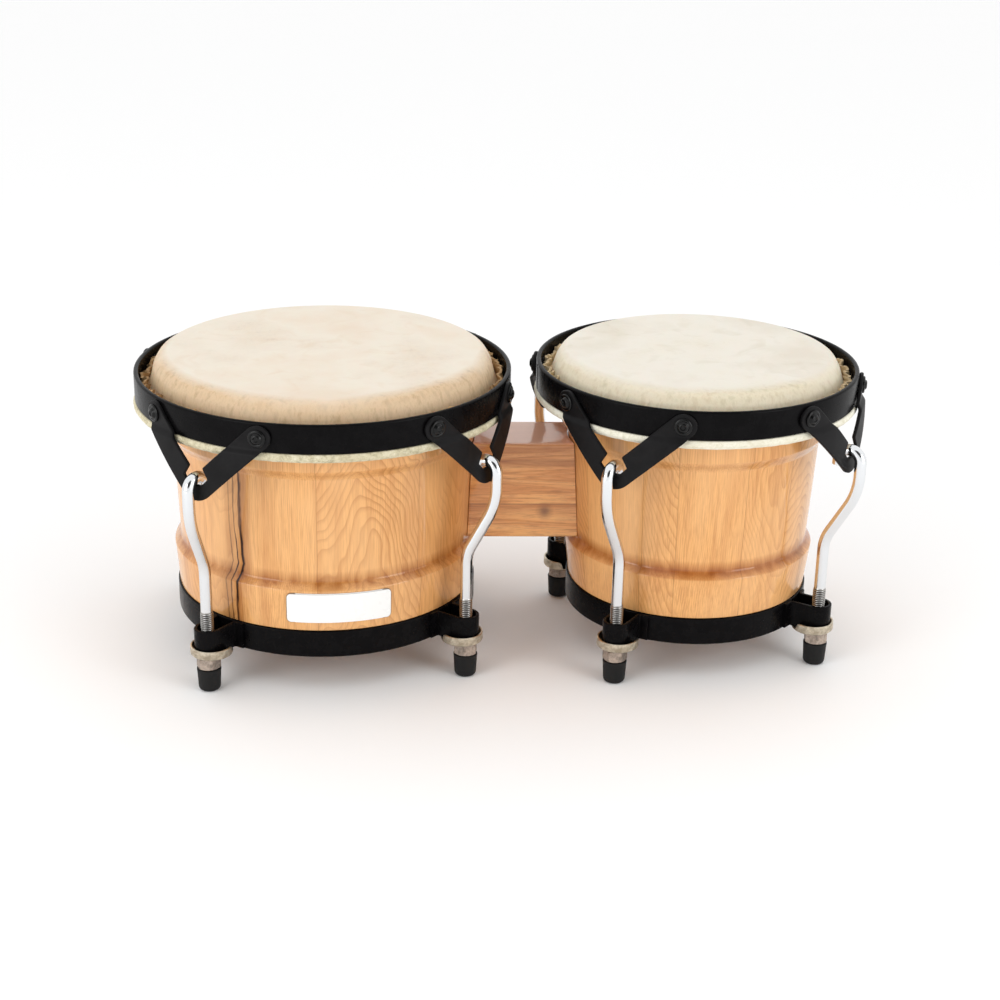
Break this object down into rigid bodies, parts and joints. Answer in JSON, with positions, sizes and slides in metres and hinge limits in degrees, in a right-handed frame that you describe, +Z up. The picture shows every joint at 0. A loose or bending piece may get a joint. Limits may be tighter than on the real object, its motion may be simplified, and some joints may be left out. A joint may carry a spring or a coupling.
{
  "type": "pair of bongo drums",
  "caption": "Pair of bongo drums: a larger and a smaller wooden drum joined by a block, with skin heads under steel hoops drawn down by hooked rods that end in rubber feet.",
  "frame": {"origin": "middle of the pair on the floor, under the centre of the bounding box", "axes": "+X from the large drum to the small drum, -Y to the front with the badge, +Z up to the heads"},
  "size_m": [0.4446, 0.231, 0.1863],
  "materials": {
    "shell_wood": "glossy clear lacquer on pale honey-coloured staves",
    "block_wood": "clear lacquer on reddish-brown wood",
    "black_steel": "satin black powder coat",
    "chrome_steel": "bright chrome plate",
    "nickel_steel": "dull warm nickel plate",
    "zinc_steel": "zinc plate",
    "foot_rubber": "moulded matt black rubber",
    "head_skin": "stretched natural rawhide",
    "lapped_skin": "rawhide lapped round a steel hoop",
    "badge_plastic": "smooth white, left blank"
  },
  "bodies": {
    "shells": {"centre_block": "block_wood", "badge": "badge_plastic", "large_shell": "shell_wood", "large_head": "head_skin", "large_bottom_ring": "black_steel", "large_saucer_1": "nickel_steel", "large_saucer_2": "nickel_steel", "large_saucer_3": "nickel_steel", "large_saucer_4": "nickel_steel", "large_block_bolt_lower": "zinc_steel", "large_bolt_washer_lower": "zinc_steel", "large_block_bolt_upper": "zinc_steel", "large_bolt_washer_upper": "zinc_steel", "small_shell": "shell_wood", "small_head": "head_skin", "small_bottom_ring": "black_steel", "small_saucer_1": "nickel_steel", "small_saucer_2": "nickel_steel", "small_saucer_3": "nickel_steel", "small_saucer_4": "nickel_steel", "small_block_bolt_lower": "zinc_steel", "small_bolt_washer_lower": "zinc_steel", "small_block_bolt_upper": "zinc_steel", "small_bolt_washer_upper": "zinc_steel"},
    "large_hoop_set": {"large_tension_hoop": "black_steel", "large_flesh_hoop": "lapped_skin", "large_hook_plate_1": "black_steel", "large_hook_plate_2": "black_steel", "large_hook_plate_3": "black_steel", "large_hook_plate_4": "black_steel", "large_tuning_rod_1": "chrome_steel", "large_tuning_rod_2": "chrome_steel", "large_tuning_rod_3": "chrome_steel", "large_tuning_rod_4": "chrome_steel", "large_foot_1": "foot_rubber", "large_foot_2": "foot_rubber", "large_foot_3": "foot_rubber", "large_foot_4": "foot_rubber"},
    "large_nut_body_1": {"large_nut_1": "nickel_steel"},
    "large_nut_body_2": {"large_nut_2": "nickel_steel"},
    "large_nut_body_3": {"large_nut_3": "nickel_steel"},
    "large_nut_body_4": {"large_nut_4": "nickel_steel"},
    "small_hoop_set": {"small_tension_hoop": "black_steel", "small_flesh_hoop": "lapped_skin", "small_hook_plate_1": "black_steel", "small_hook_plate_2": "black_steel", "small_hook_plate_3": "black_steel", "small_hook_plate_4": "black_steel", "small_tuning_rod_1": "chrome_steel", "small_tuning_rod_2": "chrome_steel", "small_tuning_rod_3": "chrome_steel", "small_tuning_rod_4": "chrome_steel", "small_foot_1": "foot_rubber", "small_foot_2": "foot_rubber", "small_foot_3": "foot_rubber", "small_foot_4": "foot_rubber"},
    "small_nut_body_1": {"small_nut_1": "nickel_steel"},
    "small_nut_body_2": {"small_nut_2": "nickel_steel"},
    "small_nut_body_3": {"small_nut_3": "nickel_steel"},
    "small_nut_body_4": {"small_nut_4": "nickel_steel"}
  },
  "joints": [
    {"name": "large_head_tuning", "type": "slide", "parent": "shells", "child": "large_hoop_set", "axis": [0, 0, -1], "range_m": [0, 0.004], "deforming": ["large_head"]},
    {"name": "large_nut_turn_1", "type": "hinge", "parent": "shells", "child": "large_nut_body_1", "pos_m": [-0.03971, 0.0868, 0.0182], "axis": [0, 0, 1], "range_deg": [0, 1160]},
    {"name": "large_nut_turn_2", "type": "hinge", "parent": "shells", "child": "large_nut_body_2", "pos_m": [-0.19359, 0.06709, 0.0182], "axis": [0, 0, 1], "range_deg": [0, 1160]},
    {"name": "large_nut_turn_3", "type": "hinge", "parent": "shells", "child": "large_nut_body_3", "pos_m": [-0.17388, -0.0868, 0.0182], "axis": [0, 0, 1], "range_deg": [0, 1160]},
    {"name": "large_nut_turn_4", "type": "hinge", "parent": "shells", "child": "large_nut_body_4", "pos_m": [-0.02, -0.06709, 0.0182], "axis": [0, 0, 1], "range_deg": [0, 1160]},
    {"name": "small_head_tuning", "type": "slide", "parent": "shells", "child": "small_hoop_set", "axis": [0, 0, -1], "range_m": [0, 0.004], "deforming": ["small_head"]},
    {"name": "small_nut_turn_1", "type": "hinge", "parent": "shells", "child": "small_nut_body_1", "pos_m": [0.17195, 0.07638, 0.0182], "axis": [0, 0, 1], "range_deg": [0, 1160]},
    {"name": "small_nut_turn_2", "type": "hinge", "parent": "shells", "child": "small_nut_body_2", "pos_m": [0.04483, 0.05075, 0.0182], "axis": [0, 0, 1], "range_deg": [0, 1160]},
    {"name": "small_nut_turn_3", "type": "hinge", "parent": "shells", "child": "small_nut_body_3", "pos_m": [0.07046, -0.07638, 0.0182], "axis": [0, 0, 1], "range_deg": [0, 1160]},
    {"name": "small_nut_turn_4", "type": "hinge", "parent": "shells", "child": "small_nut_body_4", "pos_m": [0.19758, -0.05075, 0.0182], "axis": [0, 0, 1], "range_deg": [0, 1160]}
  ],
  "couplings": [
    {"joint": "large_nut_turn_1", "follows": "large_head_tuning", "rad_per_m": 5026.5},
    {"joint": "large_nut_turn_2", "follows": "large_head_tuning", "rad_per_m": 5026.5},
    {"joint": "large_nut_turn_3", "follows": "large_head_tuning", "rad_per_m": 5026.5},
    {"joint": "large_nut_turn_4", "follows": "large_head_tuning", "rad_per_m": 5026.5},
    {"joint": "small_nut_turn_1", "follows": "small_head_tuning", "rad_per_m": 5026.5},
    {"joint": "small_nut_turn_2", "follows": "small_head_tuning", "rad_per_m": 5026.5},
    {"joint": "small_nut_turn_3", "follows": "small_head_tuning", "rad_per_m": 5026.5},
    {"joint": "small_nut_turn_4", "follows": "small_head_tuning", "rad_per_m": 5026.5}
  ]
}
